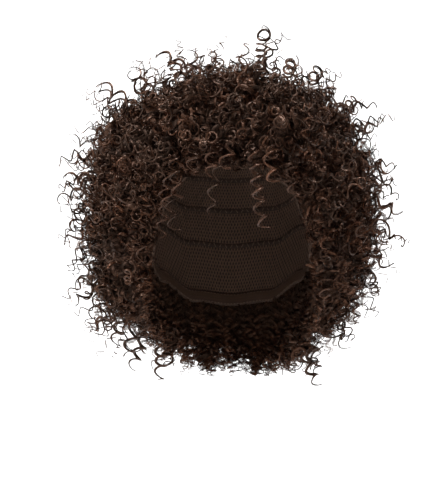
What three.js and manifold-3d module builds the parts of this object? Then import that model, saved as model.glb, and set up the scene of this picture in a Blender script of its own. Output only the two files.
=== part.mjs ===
// A short, full wig of corkscrew curls, in millimetres: +Z up, the front opening towards -Y.
// The origin is the crown point inside the top of the cap.
import * as THREE from "three";
import { mergeVertices } from "three/addons/utils/BufferGeometryUtils.js";
import Module from "manifold-3d";

const wasm = await Module();
wasm.setup();

// The round form that the cap is stretched over
const fitBreadth = 154;
const fitLength = 198;
const crownHeight = 100; // from the form's widest level up to its crown
const napeDepth = 130; // how far the form would run on below that level

// The cap, and the ribbon sewn round the inside of its edge
const capWall = 1.2;
const ribbonWidth = 12;
const ribbonThickness = 1;
const ribbonGap = 0.3; // between the cap and the ribbon
const rootGap = 0.6; // between the cap and the feet of the rows of hair

// The hair
const sideHair = 59; // how far the hair stands out past the cap at each side
const frontHair = 34;
const backHair = 54;
const topHair = 50;
const hairFall = 122; // from the form's widest level down to the foot of the hair's outline
const hairLift = 28; // how far the hair's widest level lies above the form's
const innerGap = 7; // between the form and the hair that hangs beside it
const hairFullness = 0.8; // under 1, the hair's outline is fuller than an oval
const wispRadius = 1.3; // of one bundle of hairs in a loose ringlet

// Where the cap ends and where the hair ends, going round from the middle of the hairline (turn 0) to the
// nape (turn 180), the same on both sides. cap and hair are latitudes on the form, hairTurn is where hair
// that starts at that turn ends, and under is the latitude on the hair's outline where its outside begins.
const edges = [
  { turn: 0, cap: 35, hairTurn: 0, hair: 31, under: 18 },
  { turn: 24, cap: 32, hairTurn: 25, hair: 27, under: 14 },
  { turn: 40, cap: 22, hairTurn: 43, hair: 14, under: 3 },
  { turn: 52, cap: 6, hairTurn: 54, hair: -6, under: -16 },
  { turn: 62, cap: -12, hairTurn: 61, hair: -27, under: -38 },
  { turn: 76, cap: -5, hairTurn: 71, hair: -45, under: -57 },
  { turn: 96, cap: -5, hairTurn: 92, hair: -58, under: -68 },
  { turn: 122, cap: -20, hairTurn: 121, hair: -61, under: -71 },
  { turn: 150, cap: -29, hairTurn: 150, hair: -61, under: -71 },
  { turn: 180, cap: -31, hairTurn: 180, hair: -61, under: -71 },
];

// The rows of hair sewn round the cap, from its edge up to the crown, and how many locks each one holds
const rows = [
  { name: "weft_1_hairline", locks: 22 },
  { name: "weft_2", locks: 22 },
  { name: "weft_3", locks: 20 },
  { name: "weft_4", locks: 17 },
  { name: "weft_5", locks: 14 },
  { name: "weft_6", locks: 9 },
  { name: "crown_hair", locks: 5 },
];
const rowShare = 1 / rows.length; // of the way from the cap's edge to the crown
const freeShare = 0.009; // of the same way, left free at each side of a row
const trackShare = 0.02; // of the same way, to each side of the middle of a row's sewn strip

// The hair's way from the cap (along 0) to its outline (along 1)
const liftShare = 0.5; // of its reach, where hair bends away from its first direction
const flatShare = 0.3; // hair up to this share of the way to the crown starts less and less flat
const innerShare = 0.17; // and up to this share it ends between the form and the outline
const openAlong = 0.14; // where a row has opened from its strip to its full height
const denseAlong = 0.86; // up to here a row is one dense mass, which its locks stand on

// The girth of a lock along its length, as a share of the room that it has
const lockSections = [
  { along: 0.74, girth: 0.5 },
  { along: 0.87, girth: 1 },
  { along: 0.98, girth: 0.8 },
  { along: 1.1, girth: 0.16 },
];
const lockRoot = lockSections[0].along;
const lockCorners = 4;
const lockTwist = 400; // degrees along the whole hair
const lockRoom = 0.48; // of the pitch, to each side
const lockSpread = 0.25; // how much longer or shorter than usual a lock may be
const lockStray = 0.12; // how far aside a lock may stand, as a share of the pitch
const lockSeed = 1;

// Loose ringlets, each in its row: where they start, where they end past the hair's way, in millimetres out
// from the middle, aside (towards higher turns) and down, and the radius and number of their coils
const ringlets = [
  { row: 0, turn: 17, along: 0.5, out: 2, aside: 12, down: 56, coil: 5, coils: 4.5 },
  { row: 0, turn: -6, along: 0.5, out: 2, aside: -2, down: 44, coil: 4.5, coils: 3.5 },
  { row: 0, turn: -33, along: 0.5, out: 2, aside: -6, down: 34, coil: 4.5, coils: 3 },
  { row: 6, turn: 82, along: 0.6, out: 8, aside: 6, down: -32, coil: 6, coils: 3.5 },
  { row: 3, turn: -88, along: 0.7, out: 16, aside: 4, down: 8, coil: 4.5, coils: 3 },
  { row: 2, turn: 86, along: 0.7, out: 16, aside: -6, down: 12, coil: 4.5, coils: 3 },
];
const ringletCorners = 3;
const stepsPerCoil = 7;

const turnSteps = 32;
const capSteps = 7;

const { lerp, smoothstep, degToRad } = THREE.MathUtils;

// A column of the edges table at any turn, eased from row to row.
function edgeAt(turn, column) {
  const away = Math.abs(THREE.MathUtils.euclideanModulo(turn + 180, 360) - 180);
  const next = Math.max(1, edges.findIndex((edge) => edge.turn >= away));
  const [low, high] = [edges[next - 1], edges[next]];
  return lerp(low[column], high[column], smoothstep(away, low.turn, high.turn));
}

// A turn moved to where the hair that starts there ends.
function hairTurnAt(turn) {
  const whole = Math.round(turn / 360) * 360;
  return whole + Math.sign(turn - whole) * edgeAt(turn, "hairTurn");
}

// A point on the form, or off it by a distance along its normal.
function onForm(turn, latitude, off = 0) {
  const [a, b] = [degToRad(turn), degToRad(latitude)];
  const half = new THREE.Vector3(fitBreadth / 2, fitLength / 2, latitude < 0 ? napeDepth : crownHeight);
  const unit = new THREE.Vector3(Math.cos(b) * Math.sin(a), -Math.cos(b) * Math.cos(a), Math.sin(b));
  const normal = unit.clone().divide(half).normalize();
  return unit.multiply(half).addScaledVector(normal, off).add(new THREE.Vector3(0, 0, -crownHeight));
}

// A point on the outline of all the hair.
function onOutline(turn, latitude) {
  const [a, b] = [degToRad(turn), degToRad(latitude)];
  const wide = fitBreadth / 2 + sideHair;
  const deep = fitLength / 2 + (Math.cos(a) > 0 ? frontHair : backHair);
  const high = latitude < 0 ? hairFall + hairLift : topHair + crownHeight - hairLift;
  const ring = Math.cos(b) ** hairFullness;
  return new THREE.Vector3(
    wide * ring * Math.sin(a),
    -deep * ring * Math.cos(a),
    high * Math.sin(b) + hairLift - crownHeight,
  );
}

const capLatitude = (turn, share) => lerp(edgeAt(turn, "cap"), 90, share);

// A point on the outside of the cap, share of the way from its edge (0) to the crown (1).
const onCap = (turn, share) => onForm(turn, capLatitude(turn, share), capWall + rootGap);

// Where hair ends: beside the form at the lowest edge, on the outline from the second row up.
function hairEnd(turn, share) {
  const endTurn = lerp(hairTurnAt(turn), turn, smoothstep(share, 0, 1));
  const inside = onForm(hairTurnAt(turn), edgeAt(turn, "hair"), innerGap);
  const outside = onOutline(endTurn, lerp(edgeAt(turn, "under"), 90, share));
  return inside.lerp(outside, smoothstep(share, 0, innerShare));
}

// A point on the way of a hair, which leaves the cap flat at the edge and upright higher up.
function onHair(turn, share, along) {
  const start = onCap(turn, share);
  const end = hairEnd(turn, share);
  const latitude = capLatitude(turn, share);
  const upright = onForm(turn, latitude, 1).sub(onForm(turn, latitude));
  const flat = onForm(turn, latitude - 1).sub(onForm(turn, latitude)).normalize();
  const way = flat.lerp(upright, smoothstep(share, 0, flatShare)).normalize();
  const bend = start.clone().addScaledVector(way, liftShare * start.distanceTo(end));
  const curve = new THREE.QuadraticBezierCurve3(start, bend, end);
  if (along <= 1) return curve.getPoint(along);
  return curve.getPoint(1).addScaledVector(curve.getTangent(1), (along - 1) * curve.getLength());
}

// A closed surface through sections that each hold the same number of points, anticlockwise from the way
// that they follow each other. Each four-sided face is split along its shorter diagonal. Round joins the
// last section to the first; otherwise both ends are closed.
function skin(sections, round = false) {
  const count = sections[0].length;
  const points = sections.flat();
  const index = [];
  const corner = (section, point) => (section % sections.length) * count + (point % count);
  for (let section = 0; section < sections.length - (round ? 0 : 1); section++) {
    for (let point = 0; point < count; point++) {
      const [a, b] = [corner(section, point), corner(section, point + 1)];
      const [d, c] = [corner(section + 1, point), corner(section + 1, point + 1)];
      const splitAtA = points[a].distanceTo(points[c]) <= points[b].distanceTo(points[d]);
      index.push(...(splitAtA ? [a, b, c, a, c, d] : [a, b, d, b, c, d]));
    }
  }
  for (let point = 1; point < count - 1 && !round; point++) {
    index.push(corner(0, 0), corner(0, point + 1), corner(0, point));
    const last = sections.length - 1;
    index.push(corner(last, 0), corner(last, point), corner(last, point + 1));
  }
  return new THREE.BufferGeometry().setFromPoints(points).setIndex(index);
}

// A surface that runs right round the cap: profile points go through place(turn, point).
function goRound(profileAt, place) {
  const sections = [];
  for (let step = 0; step < turnSteps; step++) {
    const turn = (step * 360) / turnSteps;
    sections.push(profileAt(turn).map((point) => place(turn, point)));
  }
  return skin(sections, true);
}

// A closed geometry as a solid that can be joined or cut. Faces that have shrunk to a line are left out.
function toSolid(geometry) {
  const bare = new THREE.BufferGeometry().setAttribute("position", geometry.getAttribute("position"));
  if (geometry.index) bare.setIndex(geometry.index);
  const merged = mergeVertices(bare, 1e-3);
  const faces = [];
  for (let i = 0; i < merged.index.count; i += 3) {
    const face = [0, 1, 2].map((corner) => merged.index.getX(i + corner));
    if (new Set(face).size === 3) faces.push(...face);
  }
  const vertProperties = merged.getAttribute("position").array;
  return new wasm.Manifold(new wasm.Mesh({ numProp: 3, vertProperties, triVerts: new Uint32Array(faces) }));
}

function toGeometry(solid) {
  const mesh = solid.getMesh();
  const geometry = new THREE.BufferGeometry();
  geometry.setAttribute("position", new THREE.BufferAttribute(mesh.vertProperties, 3));
  geometry.setIndex(new THREE.BufferAttribute(mesh.triVerts, 1));
  geometry.computeVertexNormals();
  return geometry;
}

// The latitude that lies a distance above the cap's edge.
function ribbonTop(turn) {
  const edge = edgeAt(turn, "cap");
  return edge + ribbonWidth / onForm(turn, edge).distanceTo(onForm(turn, edge + 1));
}

// A stretch net cap, open below and in front
function capNet() {
  const profile = (turn) => {
    const levels = [edgeAt(turn, "cap")];
    for (let step = 0; step <= capSteps; step++) levels.push(lerp(ribbonTop(turn), 90, step / capSteps));
    const inside = levels.map((latitude) => ({ latitude, off: 0 }));
    const outside = levels.map((latitude) => ({ latitude, off: capWall })).reverse();
    return [...inside, ...outside];
  };
  return goRound(profile, (turn, point) => onForm(turn, point.latitude, point.off));
}

// A ribbon round the inside of the cap's edge
function edgeRibbon() {
  const [near, far] = [-ribbonGap, -ribbonGap - ribbonThickness];
  const profile = (turn) => [
    { latitude: edgeAt(turn, "cap"), off: far },
    { latitude: ribbonTop(turn), off: far },
    { latitude: ribbonTop(turn), off: near },
    { latitude: edgeAt(turn, "cap"), off: near },
  ];
  return goRound(profile, (turn, point) => onForm(turn, point.latitude, point.off));
}

// The dense mass of a row, which opens from its sewn strip. The top row closes over the crown.
function rowMass(row) {
  const middle = (row + 0.5) * rowShare;
  const crown = row === rows.length - 1;
  const low = row * rowShare + freeShare;
  const high = crown ? 1 : (row + 1) * rowShare - freeShare;
  const foot = [
    { share: crown ? middle : middle - trackShare, along: 0 },
    { share: crown ? 1 : middle + trackShare, along: 0 },
  ];
  const levels = [openAlong, (openAlong + denseAlong) / 2, denseAlong];
  const rising = levels.map((along) => ({ share: high, along }));
  const falling = levels.map((along) => ({ share: low, along })).reverse();
  const profile = [...foot, ...rising, ...falling];
  return goRound(() => profile, (turn, point) => onHair(turn, point.share, point.along));
}

// A repeatable number from -1 to 1 for one lock of a row
function chance(row, count, kind) {
  const seed = (row * rows.length + kind) * turnSteps + count + lockSeed;
  return 2 * THREE.MathUtils.seededRandom(seed) - 1;
}

// A twisted lock that stands on its row's mass and narrows to its tip, which leans up or down
function lock(row, count) {
  const pitch = 360 / rows[row].locks;
  const turn = (count + (row % 2) / 2 + lockStray * chance(row, count, 0)) * pitch;
  const length = 1 + lockSpread * chance(row, count, 1);
  const lean = chance(row, count, 2);
  const middle = (row + 0.5) * rowShare;
  const reach = rowShare / 2 - freeShare;
  const sections = lockSections.map(({ along, girth }) => {
    const points = [];
    for (let corner = 0; corner < lockCorners; corner++) {
      const angle = degToRad(along * lockTwist + turn + (corner * 360) / lockCorners);
      const aside = Math.cos(angle) * girth * lockRoom * pitch;
      const up = Math.sin(angle) * girth + lean * (1 - girth);
      points.push(onHair(turn + aside, middle + up * reach, lerp(lockRoot, along, length)));
    }
    return points;
  });
  return skin(sections);
}

// A bundle of hairs coiled round a straight line, growing from nothing to its full coil
function ringlet({ row, turn, along, out, aside, down, coil, coils }) {
  const middle = (row + 0.5) * rowShare;
  const start = onHair(turn, middle, along);
  const away = onForm(turn, 0).setZ(0).normalize();
  const left = new THREE.Vector3(-away.y, away.x, 0);
  const end = onHair(turn, middle, 1).addScaledVector(away, out).addScaledVector(left, aside);
  end.z -= down;
  const axis = end.clone().sub(start);
  const across = new THREE.Vector3().crossVectors(axis, left).normalize();
  const beside = new THREE.Vector3().crossVectors(axis, across).normalize();
  const points = [];
  const steps = Math.round(coils * stepsPerCoil);
  for (let step = 0; step <= steps; step++) {
    const angle = (step * 2 * Math.PI) / stepsPerCoil;
    const radius = coil * smoothstep(step, 0, stepsPerCoil);
    const point = start.clone().addScaledVector(axis, step / steps);
    point.addScaledVector(across, radius * Math.cos(angle)).addScaledVector(beside, radius * Math.sin(angle));
    points.push(point);
  }
  const wisp = new THREE.Shape();
  for (let corner = 0; corner < ringletCorners; corner++) {
    const angle = (corner * 2 * Math.PI) / ringletCorners;
    wisp[corner ? "lineTo" : "moveTo"](wispRadius * Math.cos(angle), wispRadius * Math.sin(angle));
  }
  const path = new THREE.CatmullRomCurve3(points);
  return new THREE.ExtrudeGeometry(wisp, { steps, bevelEnabled: false, extrudePath: path });
}

// One row of hair: its mass, the locks that stand on it and its loose ringlets, in one piece
function hairRow(row) {
  let solid = toSolid(rowMass(row));
  for (let count = 0; count < rows[row].locks; count++) solid = solid.add(toSolid(lock(row, count)));
  for (const loose of ringlets.filter((each) => each.row === row)) solid = solid.add(toSolid(ringlet(loose)));
  return toGeometry(solid);
}

const netMaterial = new THREE.MeshStandardMaterial({ color: 0x1d1613, roughness: 0.9, metalness: 0 });
const ribbonMaterial = new THREE.MeshStandardMaterial({ color: 0x261c18, roughness: 0.6, metalness: 0 });
const hairMaterial = new THREE.MeshStandardMaterial({ color: 0x35241c, roughness: 0.5, metalness: 0 });

const wig = new THREE.Group();

function addPiece(name, geometry, material) {
  const mesh = new THREE.Mesh(geometry, material);
  mesh.name = name;
  wig.add(mesh);
}

addPiece("cap_net", toGeometry(toSolid(capNet())), netMaterial);
addPiece("edge_ribbon", toGeometry(toSolid(edgeRibbon())), ribbonMaterial);
rows.forEach(({ name }, row) => addPiece(name, hairRow(row), hairMaterial));

export default wig;
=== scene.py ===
import math

import bpy
import numpy as np
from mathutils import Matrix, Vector, noise


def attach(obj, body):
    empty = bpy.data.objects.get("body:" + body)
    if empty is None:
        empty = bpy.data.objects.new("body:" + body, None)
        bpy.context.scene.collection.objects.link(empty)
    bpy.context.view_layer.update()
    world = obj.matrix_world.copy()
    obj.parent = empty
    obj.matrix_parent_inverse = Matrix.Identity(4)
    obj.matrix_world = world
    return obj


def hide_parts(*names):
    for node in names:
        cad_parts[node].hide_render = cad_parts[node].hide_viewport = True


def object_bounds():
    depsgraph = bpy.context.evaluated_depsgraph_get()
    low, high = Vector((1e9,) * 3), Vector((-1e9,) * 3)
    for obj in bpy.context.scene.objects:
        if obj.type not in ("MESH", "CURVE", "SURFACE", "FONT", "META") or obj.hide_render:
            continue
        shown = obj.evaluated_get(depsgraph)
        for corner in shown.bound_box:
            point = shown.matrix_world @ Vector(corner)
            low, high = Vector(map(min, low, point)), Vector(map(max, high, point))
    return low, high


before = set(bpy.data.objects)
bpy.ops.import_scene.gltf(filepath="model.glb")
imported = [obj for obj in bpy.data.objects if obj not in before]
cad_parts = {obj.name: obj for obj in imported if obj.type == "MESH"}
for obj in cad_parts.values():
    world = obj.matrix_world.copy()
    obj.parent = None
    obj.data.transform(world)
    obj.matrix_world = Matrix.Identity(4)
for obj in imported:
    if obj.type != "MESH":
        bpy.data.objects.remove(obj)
solid_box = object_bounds()


# Cap net.
# The real piece is a stretch net cap, knitted in dark brown yarn and sewn to shape, with a tab on each side.
# All the hair hangs from it, and its inside shows through the front opening.
fit_breadth = 0.154
fit_length = 0.198
crown_height = 0.1
nape_depth = 0.13
cap_wall = 0.0012
cap_turns = 120
cap_levels = 26
crown_latitude = 89.5
net_cell = 0.0026
net_yarn = (0.13, 0.075, 0.05, 1)
net_hole = (0.016, 0.010, 0.007, 1)
net_roughness = 0.85
net_relief = 0.0006
net_slant = math.radians(35)
net_fineness = 4.0
waver_scale = 180.0
worn_least = 0.7
worn_spread = 0.5
thread_gloss = 0.15
cloth_bump = 0.8
cloth_specular = 0.2

# Latitudes on the cap's round form, from the middle of the hairline (turn 0) to the nape (turn 180)
edges = {
    "turn": (0, 24, 40, 52, 62, 76, 96, 122, 150, 180),
    "cap": (35, 32, 22, 6, -12, -5, -5, -20, -29, -31),
    "hair_turn": (0, 25, 43, 54, 61, 71, 92, 121, 150, 180),
    "hair": (31, 27, 14, -6, -27, -45, -58, -61, -61, -61),
    "under": (18, 14, 3, -16, -38, -57, -68, -71, -71, -71),
}


def smooth(value, low=0.0, high=1.0):
    x = np.clip((value - low) / (high - low), 0, 1)
    return x * x * (3 - 2 * x)


def mix(a, b, share):
    return a + (b - a) * share


def unit(vectors):
    return vectors / np.maximum(np.linalg.norm(vectors, axis=-1, keepdims=True), 1e-9)


def turn_away(turn):
    """How many degrees a turn lies away from the middle of the front."""
    return np.abs((np.asarray(turn, float) + 180) % 360 - 180)


def edge_at(turn, column):
    """A column of edges at any turn, the same on both sides."""
    stops = np.array(edges["turn"], float)
    values = np.array(edges[column], float)
    away = turn_away(turn)
    after = np.clip(np.searchsorted(stops, away), 1, len(stops) - 1)
    return mix(values[after - 1], values[after], smooth(away, stops[after - 1], stops[after]))


def on_form(turn, latitude, off=0.0):
    """A point on the round form inside the cap, or off it along its normal."""
    a, b, off = np.broadcast_arrays(np.radians(turn), np.radians(latitude), off)
    height = np.where(b < 0, nape_depth, crown_height)
    half = np.stack([np.full(a.shape, fit_breadth / 2), np.full(a.shape, fit_length / 2), height], -1)
    way = np.stack([np.cos(b) * np.sin(a), -np.cos(b) * np.cos(a), np.sin(b)], -1)
    return way * half + unit(way / half) * off[..., None] - (0, 0, crown_height)


def grid_faces(rows, columns, round_rows=False, round_columns=False):
    """Four-sided faces over a grid of points, which may close on itself either way."""
    r = np.arange(rows if round_rows else rows - 1)[:, None]
    c = np.arange(columns if round_columns else columns - 1)[None, :]
    next_r, next_c = (r + 1) % rows, (c + 1) % columns
    corners = [r * columns + c, next_r * columns + c, next_r * columns + next_c, r * columns + next_c]
    return np.stack(corners, -1).reshape(-1, 4)


def grid_places(across, along):
    """The map place of each corner of the faces of a grid, from the places of its lines."""
    low_a, high_a = across[:-1][:, None], across[1:][:, None]
    low_b, high_b = along[None, :-1], along[None, 1:]
    corners = [(low_a, low_b), (high_a, low_b), (high_a, high_b), (low_a, high_b)]
    return np.stack([np.stack(np.broadcast_arrays(*corner), -1) for corner in corners], -2).reshape(-1, 4, 2)


def new_piece(name, points, faces, places, map_name, material):
    """A smooth mesh piece that rides on the wig's only body."""
    mesh = bpy.data.meshes.new(name)
    mesh.vertices.add(len(points))
    mesh.vertices.foreach_set("co", np.asarray(points, np.float32).ravel())
    mesh.loops.add(faces.size)
    mesh.loops.foreach_set("vertex_index", faces.astype(np.int32).ravel())
    mesh.polygons.add(len(faces))
    mesh.polygons.foreach_set("loop_start", np.arange(0, faces.size, 4, dtype=np.int32))
    mesh.uv_layers.new(name=map_name).uv.foreach_set("vector", np.asarray(places, np.float32).ravel())
    mesh.update(calc_edges=True)
    mesh.validate()
    mesh.shade_smooth()
    mesh.materials.append(material)
    piece = bpy.data.objects.new(name, mesh)
    bpy.context.scene.collection.objects.link(piece)
    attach(piece, "root")
    return piece


def new_group(name, inputs, outputs):
    """An empty node group with the given named sockets, and its input and output nodes."""
    group = bpy.data.node_groups.new(name, "ShaderNodeTree")
    for label, (kind, value) in inputs.items():
        socket = group.interface.new_socket(label, in_out="INPUT", socket_type=kind)
        socket.default_value = value
    for label, kind in outputs.items():
        group.interface.new_socket(label, in_out="OUTPUT", socket_type=kind)
    return group, group.nodes.new("NodeGroupInput"), group.nodes.new("NodeGroupOutput")


def node(tree, kind, inputs=None, **settings):
    """A node with its settings, whose inputs are given as values or as sockets to link."""
    made = tree.nodes.new("ShaderNode" + kind)
    for setting, value in settings.items():
        setattr(made, setting, value)
    for socket, value in (inputs or {}).items():
        if isinstance(value, bpy.types.NodeSocket):
            tree.links.new(value, made.inputs[socket])
        else:
            made.inputs[socket].default_value = value
    return made


def maths(tree, operation, a, b=0.0, c=0.0):
    return node(tree, "Math", {0: a, 1: b, 2: c}, operation=operation).outputs[0]


# The threads of a net or a weave, as a shared shader group
float_socket, colour_socket, vector_socket = "NodeSocketFloat", "NodeSocketColor", "NodeSocketVector"
thread_group, thread_in, thread_out = new_group(
    "crossed threads",
    {
        "Place": (vector_socket, (0, 0, 0)),
        "Spacing": (float_socket, net_cell),
        "Slant": (float_socket, math.radians(45)),
        "Fineness": (float_socket, 3.0),
        "Waver": (float_socket, 0.3),
    },
    {"Threads": float_socket, "Waviness": float_socket},
)
waver = node(
    thread_group, "TexNoise", {"Vector": thread_in.outputs["Place"], "Scale": waver_scale, "Detail": 2.0}
)
shift = maths(thread_group, "MULTIPLY", waver.outputs["Fac"], thread_in.outputs["Waver"])
families = []
for sign in (1, -1):
    slant = maths(thread_group, "MULTIPLY", thread_in.outputs["Slant"], sign)
    turned = node(
        thread_group,
        "VectorRotate",
        {"Vector": thread_in.outputs["Place"], "Angle": slant},
        rotation_type="Z_AXIS",
    )
    place = node(thread_group, "SeparateXYZ", {0: turned.outputs[0]}).outputs["X"]
    count = maths(thread_group, "DIVIDE", place, thread_in.outputs["Spacing"])
    wave_phase = maths(thread_group, "MULTIPLY", maths(thread_group, "ADD", count, shift), math.pi)
    wave = maths(thread_group, "ABSOLUTE", maths(thread_group, "SINE", wave_phase))
    families.append(maths(thread_group, "POWER", wave, thread_in.outputs["Fineness"]))
crossing = maths(thread_group, "MAXIMUM", families[0], families[1])
thread_group.links.new(crossing, thread_out.inputs["Threads"])
thread_group.links.new(waver.outputs["Fac"], thread_out.inputs["Waviness"])


def cloth_material(name, spacing, slant, fineness, thread_colour, gap_colour, roughness, relief):
    """A cloth of crossed threads over darker gaps."""
    material = bpy.data.materials.new(name)
    material.use_nodes = True
    tree = material.node_tree
    shader = tree.nodes["Principled BSDF"]
    place = node(tree, "UVMap", uv_map="Cloth").outputs["UV"]
    weave = {"Place": place, "Spacing": spacing, "Slant": slant, "Fineness": fineness}
    threads = node(tree, "Group", weave, node_tree=thread_group)
    worn = maths(tree, "MULTIPLY_ADD", threads.outputs["Waviness"], worn_spread, worn_least)
    shown = maths(tree, "MULTIPLY", threads.outputs["Threads"], worn)
    colour = node(tree, "Mix", {"Factor": shown, "A": gap_colour, "B": thread_colour}, data_type="RGBA")
    height = node(
        tree, "Bump", {"Height": threads.outputs["Threads"], "Distance": relief, "Strength": cloth_bump}
    )
    tree.links.new(colour.outputs["Result"], shader.inputs["Base Color"])
    tree.links.new(height.outputs["Normal"], shader.inputs["Normal"])
    gloss = maths(tree, "MULTIPLY_ADD", threads.outputs["Threads"], -thread_gloss, roughness)
    tree.links.new(gloss, shader.inputs["Roughness"])
    shader.inputs["Specular IOR Level"].default_value = cloth_specular
    return material


def round_strip(profile):
    """Points and map places of a closed strip round the cap, from its profile of latitudes and offsets."""
    turns = np.arange(cap_turns) * 360 / cap_turns
    rings = [on_form(turns, latitude, off) for latitude, off in profile(turns)]
    points = np.stack(rings, 1)
    step = math.pi * (fit_breadth + fit_length) / 2 / cap_turns
    climb = np.linalg.norm(np.roll(points, -1, 1) - points, axis=-1).mean(0)
    along = np.concatenate([[0], np.cumsum(climb)])
    places = grid_places(np.arange(cap_turns + 1) * step, along)
    return points.reshape(-1, 3), grid_faces(*points.shape[:2], True, True), places


def cap_profile(turns):
    rises = np.linspace(0, 1, cap_levels)
    latitudes = [mix(edge_at(turns, "cap"), crown_latitude, rise) for rise in rises]
    return [(latitude, 0) for latitude in latitudes] + [(latitude, cap_wall) for latitude in latitudes[::-1]]


net_material = cloth_material(
    "stretch net", net_cell, net_slant, net_fineness, net_yarn, net_hole, net_roughness, net_relief
)
cap_net = new_piece("cap_net_knit", *round_strip(cap_profile), "Cloth", net_material)
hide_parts("cap_net")


# Edge ribbon.
# The real piece is a soft satin ribbon round the inside of the cap's edge, so that the net doesn't scratch.
# It is sewn down with two rows of small stitches.
ribbon_width = 0.012
ribbon_thickness = 0.001
ribbon_gap = 0.0003
ribbon_levels = 6
ribbon_yarn = (0.075, 0.042, 0.028, 1)
ribbon_shade = (0.03, 0.018, 0.012, 1)
ribbon_weave = 0.0008
ribbon_relief = 0.0002
ribbon_slant = math.radians(8)
ribbon_fineness = 1.2
ribbon_roughness = 0.5
ribbon_edge_share = 0.6
stitch_length = 0.0022
stitch_pitch = 0.004
stitch_radius = 0.00035
stitch_inset = 0.0016
stitch_rise = (-0.6, 0.7, 0.7, -0.6)
stitch_along = (0.0, 0.2, 0.8, 1.0)


def ribbon_latitude(turns, height):
    """The latitude at a height above the cap's edge, along the form."""
    edge = edge_at(turns, "cap")
    degree = np.linalg.norm(on_form(turns, edge + 1) - on_form(turns, edge), axis=-1)
    return edge + height / degree


def ribbon_profile(turns):
    heights = np.linspace(0, ribbon_width, ribbon_levels)
    swell = np.sin(np.linspace(0, math.pi, ribbon_levels))
    inner = [
        (ribbon_latitude(turns, height), -ribbon_gap - ribbon_thickness * mix(ribbon_edge_share, 1.0, bulge))
        for height, bulge in zip(heights, swell)
    ]
    outer = [(ribbon_latitude(turns, height), -ribbon_gap) for height in heights[::-1]]
    return inner + outer


ribbon_material = cloth_material(
    "satin ribbon",
    ribbon_weave,
    ribbon_slant,
    ribbon_fineness,
    ribbon_yarn,
    ribbon_shade,
    ribbon_roughness,
    ribbon_relief,
)
edge_ribbon = new_piece("edge_ribbon_satin", *round_strip(ribbon_profile), "Cloth", ribbon_material)
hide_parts("edge_ribbon")


def stitches(starts, ends, normals):
    """Short threads, each laid over the cloth from its start to its end."""
    rise = np.array(stitch_rise)[:, None] * stitch_radius
    along = np.array(stitch_along)[:, None]
    line = starts[:, None] + (ends - starts)[:, None] * along + normals[:, None] * rise
    side = np.cross(normals, unit(ends - starts))[:, None, None]
    corners = np.radians([0, 90, 180, 270])[:, None]
    around = np.cos(corners) * side + np.sin(corners) * normals[:, None, None]
    points = line[:, :, None] + around * stitch_radius
    many, long, wide = points.shape[:3]
    faces = grid_faces(long, wide, round_columns=True)[None] + (np.arange(many) * long * wide)[:, None, None]
    places = grid_places(along[:, 0] * stitch_length, np.linspace(0, math.tau * stitch_radius, wide + 1))
    places = places[None] + np.arange(many)[:, None, None, None] * (0, stitch_length)
    return points.reshape(-1, 3), faces.reshape(-1, 4), places


def stitch_row(latitude_at, inset, pitch, zigzag):
    """A row of stitches round the inside of the cap, with its start, end and normal of each stitch."""
    turns = np.arange(0, 360, math.degrees(pitch / ((fit_breadth + fit_length) / 4)))
    half = math.degrees(stitch_length / (fit_breadth + fit_length) * 2)
    swing = zigzag * np.where(np.arange(turns.size) % 2, 1, -1)
    starts = on_form(turns - half, latitude_at(turns - half) - swing, inset)
    ends = on_form(turns + half, latitude_at(turns + half) + swing, inset)
    return starts, ends, unit(on_form(turns, latitude_at(turns)) - on_form(turns, latitude_at(turns), 0.001))


thread_colour = (0.16, 0.10, 0.07, 1)
thread_shade = (0.05, 0.03, 0.02, 1)
thread_twist = 0.0005
thread_slant = math.radians(40)
thread_fineness = 1.5
thread_roughness = 0.55
thread_relief = 0.0001
thread_material = cloth_material(
    "sewing thread",
    thread_twist,
    thread_slant,
    thread_fineness,
    thread_colour,
    thread_shade,
    thread_roughness,
    thread_relief,
)
ribbon_face = -ribbon_gap - ribbon_thickness * ribbon_edge_share
ribbon_rows = [
    stitch_row(lambda turns, height=height: ribbon_latitude(turns, height), ribbon_face, stitch_pitch, 0.0)
    for height in (stitch_inset, ribbon_width - stitch_inset)
]
ribbon_threads = stitches(*[np.concatenate(parts) for parts in zip(*ribbon_rows)])
ribbon_stitches = new_piece("ribbon_stitches", *ribbon_threads, "Cloth", thread_material)


# First row of hair, round the whole edge.
# The real piece is a machine-sewn weft: curled fibre folded over a thread strip and stitched to the net.
# Its hair frames the front opening, falls to the nape, and leaves a few loose ringlets at the hairline.
side_hair = 0.059
front_hair = 0.034
back_hair = 0.054
top_hair = 0.05
hair_fall = 0.122
hair_lift = 0.028
hair_fullness = 0.8
inner_gap = 0.007
root_gap = 0.0006
row_share = 1 / 7
lift_share = 0.5
flat_share = 0.3
inner_share = 0.17
track_share = 0.02
cap_latitude_top = 90

# How much higher the hairline lies in its upper corners, along the front and in the middle, in degrees
corner_lift = 5.0
front_lift = 2.0
middle_lift = 3.0
corner_from = (12, 36)
corner_until = (44, 62)
middle_turns = (20, 60)


def hair_turn_at(turn):
    whole = np.round(turn / 360) * 360
    return whole + np.sign(turn - whole) * edge_at(turn, "hair_turn")


def corner_at(turn):
    """How far a turn lies in the upper corners of the front opening, from 0 to 1."""
    away = turn_away(turn)
    return smooth(away, *corner_from) * (1 - smooth(away, *corner_until))


def on_outline(turn, latitude):
    """A point on the round outline of the whole hair."""
    a, b = np.broadcast_arrays(np.radians(turn), np.radians(latitude))
    wide = fit_breadth / 2 + side_hair
    deep = fit_length / 2 + np.where(np.cos(a) > 0, front_hair, back_hair)
    high = np.where(b < 0, hair_fall + hair_lift, top_hair + crown_height - hair_lift)
    ring = np.sign(np.cos(b)) * np.abs(np.cos(b)) ** hair_fullness
    point = np.stack([wide * ring * np.sin(a), -deep * ring * np.cos(a), high * np.sin(b)], -1)
    return point + (0, 0, hair_lift - crown_height)


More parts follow.
